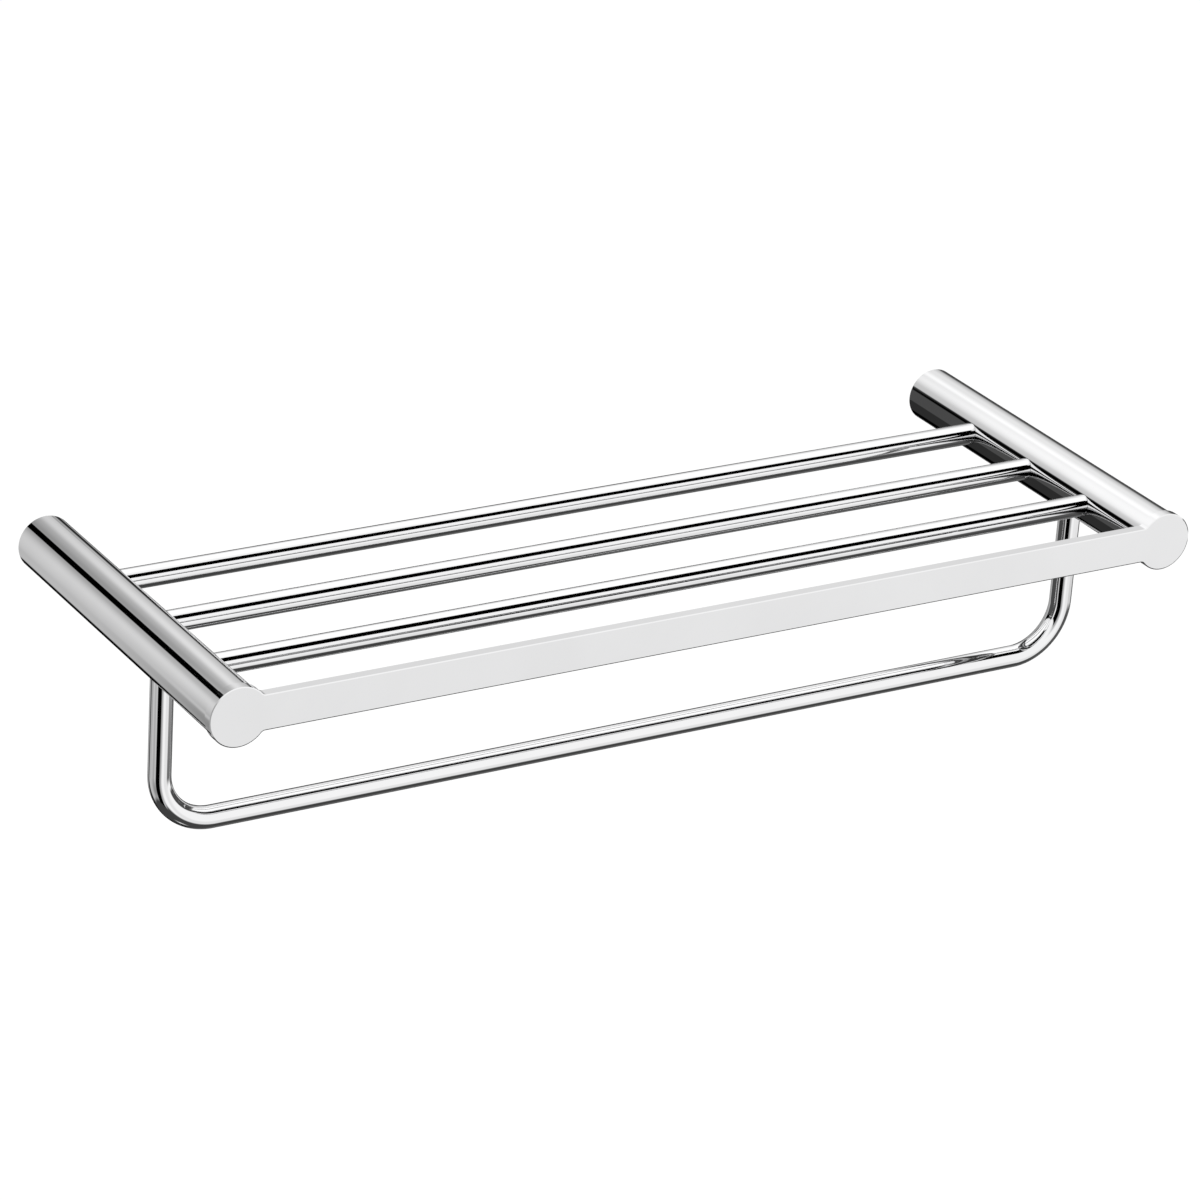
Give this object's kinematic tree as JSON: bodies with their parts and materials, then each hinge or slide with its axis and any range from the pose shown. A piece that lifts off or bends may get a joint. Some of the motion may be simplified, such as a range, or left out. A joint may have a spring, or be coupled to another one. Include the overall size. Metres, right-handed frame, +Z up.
{
  "type": "towel rack with shelf",
  "caption": "Wall-mounted chrome towel rack: round arms joined by a flat front plate, a shelf of round rods between the arms and a U-shaped towel bar below.",
  "frame": {"origin": "on the wall plane, midway between the arms, at the height of the arms' axes", "axes": "+X to the right as seen from the front, along the rods; +Y into the wall, along the arms; +Z up"},
  "size_m": [0.61, 0.2345, 0.1266],
  "materials": {
    "polished_chrome": "mirror-polished chrome plating",
    "cast_zinc": "bare die-cast zinc, satin grey",
    "turned_brass": "bare turned brass",
    "fastener_steel": "zinc-plated steel"
  },
  "bodies": {
    "root": {"left_arm_tube": "polished_chrome", "right_arm_tube": "polished_chrome", "front_plate": "polished_chrome", "shelf_rod_rear": "polished_chrome", "shelf_rod_middle": "polished_chrome", "shelf_rod_front": "polished_chrome", "towel_bar": "polished_chrome", "left_wall_bracket": "cast_zinc", "right_wall_bracket": "cast_zinc", "left_leg_saddle": "cast_zinc", "right_leg_saddle": "cast_zinc", "left_front_plug": "turned_brass", "right_front_plug": "turned_brass", "left_leg_insert": "turned_brass", "right_leg_insert": "turned_brass", "left_set_screw": "fastener_steel", "right_set_screw": "fastener_steel", "left_plate_stud": "fastener_steel", "right_plate_stud": "fastener_steel", "left_plate_washer": "fastener_steel", "right_plate_washer": "fastener_steel", "left_plate_nut": "fastener_steel", "right_plate_nut": "fastener_steel", "left_leg_screw": "fastener_steel", "right_leg_screw": "fastener_steel"}
  },
  "joints": []
}
